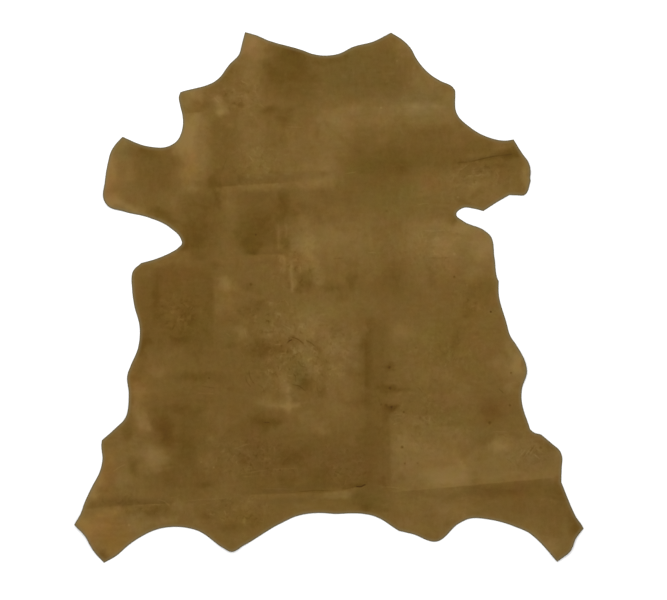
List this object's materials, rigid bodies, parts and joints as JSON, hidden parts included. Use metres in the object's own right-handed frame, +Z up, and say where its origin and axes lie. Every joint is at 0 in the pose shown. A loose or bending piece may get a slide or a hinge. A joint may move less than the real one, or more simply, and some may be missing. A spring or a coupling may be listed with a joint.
{
  "type": "sheepskin suede",
  "caption": "Whole cut sheepskin suede in its natural outline, laid flat with its napped side up, for cutting into leatherwork, clothing or covers.",
  "frame": {"origin": "middle of the skin's bounding box, on the surface that it lies on", "axes": "+Z up from the surface, out of the napped side; +Y towards the neck; +X to the right as seen from above"},
  "size_m": [0.96, 1, 0.0054],
  "materials": {
    "suede": "matt buffed nap, olive brown"
  },
  "bodies": {
    "root": {"suede_skin": "suede"}
  },
  "joints": []
}
